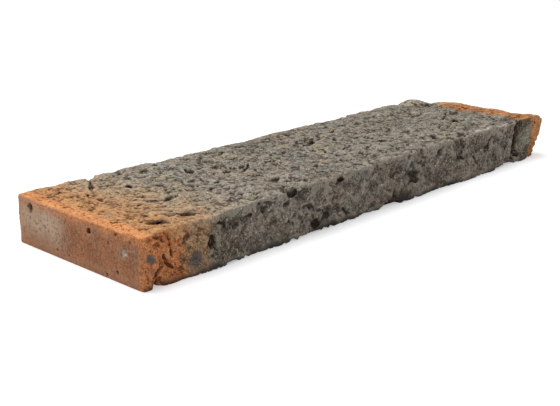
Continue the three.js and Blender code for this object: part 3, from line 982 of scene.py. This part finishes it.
    def with_flecks(self, colour, light):
        """colour with paler and darker clay in bare clay, and ash and soot in the crust."""
        coarse = self.larger(self.between(self.topside, 0.75, 0.95), self.warm)
        coarse = self.times(self.between(self.sanded, 1.0, 0.9), coarse)
        colour = self.blend(self.times(self.ramp(self.speck, 0.48, 0.36, 0, 0.8), coarse), colour, self.dark)
        colour = self.blend(self.times(self.ramp(self.speck, 0.56, 0.70, 0, 0.6), coarse), colour, light)
        fine = self.between(self.times(self.warm, self.off_top), 0.5, 0.85)
        fine = self.times(fine, self.between(self.sanded, 1.0, 0.72))
        colour = self.blend(self.times(self.ramp(self.grain, 0.52, 0.66), fine), colour, light)
        colour = self.blend(self.times(self.ramp(self.grain, 0.48, 0.34), fine), colour, self.dark)
        flecks = self.times(self.pores(self.shifted, 210, size=0.24, chance=0.2),
                            self.ramp(self.warm, 0, 0.8, 0.7, 0))
        return self.painted(colour, flecks, FLECK)

    def with_shadows(self, colour, light, pores, cracks):
        """colour with painted shade in pores, cracks and hollows, and painted highlights on high spots."""
        shadow = self.either(SHADOW)
        # Painted shade in pores and cracks.
        colour = self.blend(self.times(pores, 0.7), colour, self.dark)
        colour = self.blend(self.times(cracks, 0.85), colour, self.dark)
        patchy = self.ramp(self.noise(self.place, 170, 3), 0.4, 0.6, 0.6, 1.0)
        depth = self.times(self.ramp(self.hollow, 0.14, 0.50), self.between(self.topside, 0.68, 0.97))
        colour = self.blend(self.times(depth, patchy), colour, shadow)
        colour = self.blend(self.times(self.attribute("dent"), 0.88), colour, shadow)
        # Painted highlights on high spots.
        return self.blend(self.ramp(self.hollow, -0.1, -0.6, 0, 0.25), colour, light)

    def with_slate_soot_and_shade(self, colour):
        """colour with slate patches, soot with painted shade in hollows, and painted shade at the foot of the
        sides.
        """
        ragged = self.ramp(self.noise(self.place, 320, 4), 0.38, 0.55, 0.35, 0.85)
        colour = self.painted(colour, self.times(self.attribute("slate"), ragged, clamp=True), SLATE)
        # Soot, and painted shade in hollows and under the far lump.
        colour = self.painted(colour, self.times(self.attribute("soot_and_shade"), 0.9), SOOT_AND_SHADE)
        # Painted shade at the foot of the sides.
        return self.painted(colour, self.times(self.attribute("under"), 0.8), FLOOR_SHADE)

    def bumps(self, pores, cracks):
        """Relief under about a millimetre, gentle on the sanded header."""
        height = self.math("ADD", self.times(self.speck, 0.7), self.times(self.grain, 0.35))
        height = self.math("SUBTRACT", height, self.times(self.larger(pores, cracks), 0.8))
        inputs = {"Height": height, "Strength": self.between(self.sanded, 0.7, 0.2), "Distance": MM}
        return self.add("Bump", inputs).outputs["Normal"]


def fired_clay():
    """Grey kiln crust over orange clay, with painted shade in the hollows."""
    clay = FiredClay()
    pores, cracks = clay.skin_pores(), clay.cracks()
    light = clay.painted(clay.either(LIGHT), clay.sanded, SAND_LIGHT)
    colour = clay.with_bare_ends(clay.crust())
    colour = clay.with_sanded_header(colour)
    colour = clay.with_patches(colour)
    colour = clay.with_flecks(colour, light)
    colour = clay.with_shadows(colour, light, pores, cracks)
    colour = clay.with_slate_soot_and_shade(colour)
    shader = clay.add("BsdfPrincipled", {
        "Base Color": colour,
        "Roughness": clay.ramp(clay.speck, 0.3, 0.7, 0.8, 0.97),
        "Specular IOR Level": 0.3,
        "Normal": clay.bumps(pores, cracks),
    })
    clay.add("OutputMaterial", {"Surface": shader.outputs[0]})
    return clay.material


# ---------------- studio

FLOOR_HALF = 6.0             # half the floor's length, in metres
PAPER = (0.86, 0.865, 0.88, 1)
FLOOR_GLOW = 0.40            # lifts the lit floor to white for the camera; its shadows stay
WHITE = (1, 1, 1, 1)
WORLD_STRENGTH = 0.45
OVERHEAD_PLACE = (-0.2, 0.5, 1.6)
OVERHEAD_SIZE = 1.3
OVERHEAD_POWER = 24.5


def pale_floor():
    """A white floor that reads as paper and keeps the brick's shadow."""
    mesh = bpy.data.meshes.new("floor")
    corners = [(x * FLOOR_HALF, y * FLOOR_HALF, 0) for x, y in ((-1, -1), (1, -1), (1, 1), (-1, 1))]
    mesh.from_pydata(corners, [], [(0, 1, 2, 3)])
    floor = bpy.data.objects.new("floor", mesh)
    bpy.context.scene.collection.objects.link(floor)
    g = Nodes("white_paper")
    paper = g.add("BsdfDiffuse", {"Color": PAPER})
    camera_ray = g.add("LightPath").outputs["Is Camera Ray"]
    glow = g.add("Emission", {"Color": WHITE, "Strength": g.times(camera_ray, FLOOR_GLOW)})
    both = g.add("AddShader", {0: paper.outputs[0], 1: glow.outputs[0]})
    g.add("OutputMaterial", {"Surface": both.outputs[0]})
    mesh.materials.append(g.material)


def soft_world(strength):
    """An even white surround: white to the camera, softer as a light."""
    world = bpy.data.worlds.new("studio")
    bpy.context.scene.world = world
    world.use_nodes = True
    tree = world.node_tree
    background = tree.nodes["Background"]
    background.inputs["Color"].default_value = WHITE
    path = tree.nodes.new("ShaderNodeLightPath")
    level = tree.nodes.new("ShaderNodeMapRange")
    tree.links.new(path.outputs["Is Camera Ray"], level.inputs["Value"])
    level.inputs["To Min"].default_value = strength
    level.inputs["To Max"].default_value = 1.0
    tree.links.new(level.outputs["Result"], background.inputs["Strength"])


def softbox(name, place, aim, size, power):
    """A square area light at place that faces aim."""
    light = bpy.data.lights.new(name, "AREA")
    light.shape = "SQUARE"
    light.size = size
    light.energy = power
    lamp = bpy.data.objects.new(name, light)
    lamp.location = place
    lamp.rotation_mode = "QUATERNION"
    lamp.rotation_quaternion = (Vector(aim) - Vector(place)).to_track_quat("-Z", "Y")
    bpy.context.scene.collection.objects.link(lamp)


def photograph_camera():
    """The camera that took the photograph."""
    camera = bpy.data.objects.new("camera", bpy.data.cameras.new("camera"))
    camera.data.sensor_width = SENSOR_WIDTH
    camera.data.lens = LENS
    camera.data.clip_start = 0.01
    camera.data.clip_end = 50
    azimuth, elevation = math.radians(CAMERA_AZIMUTH), math.radians(CAMERA_ELEVATION)
    level = math.cos(elevation)
    back = Vector((math.sin(azimuth) * level, -math.cos(azimuth) * level, math.sin(elevation)))
    camera.location = CAMERA_PLACE
    camera.rotation_mode = "QUATERNION"
    camera.rotation_quaternion = (-back).to_track_quat("-Z", "Y")
    bpy.context.scene.collection.objects.link(camera)
    bpy.context.scene.camera = camera


photograph_camera()
soft_world(WORLD_STRENGTH)
softbox("overhead", OVERHEAD_PLACE, (0, 0, 0), OVERHEAD_SIZE, OVERHEAD_POWER)
pale_floor()
brick_surface()
bpy.context.scene.view_settings.view_transform = "Standard"
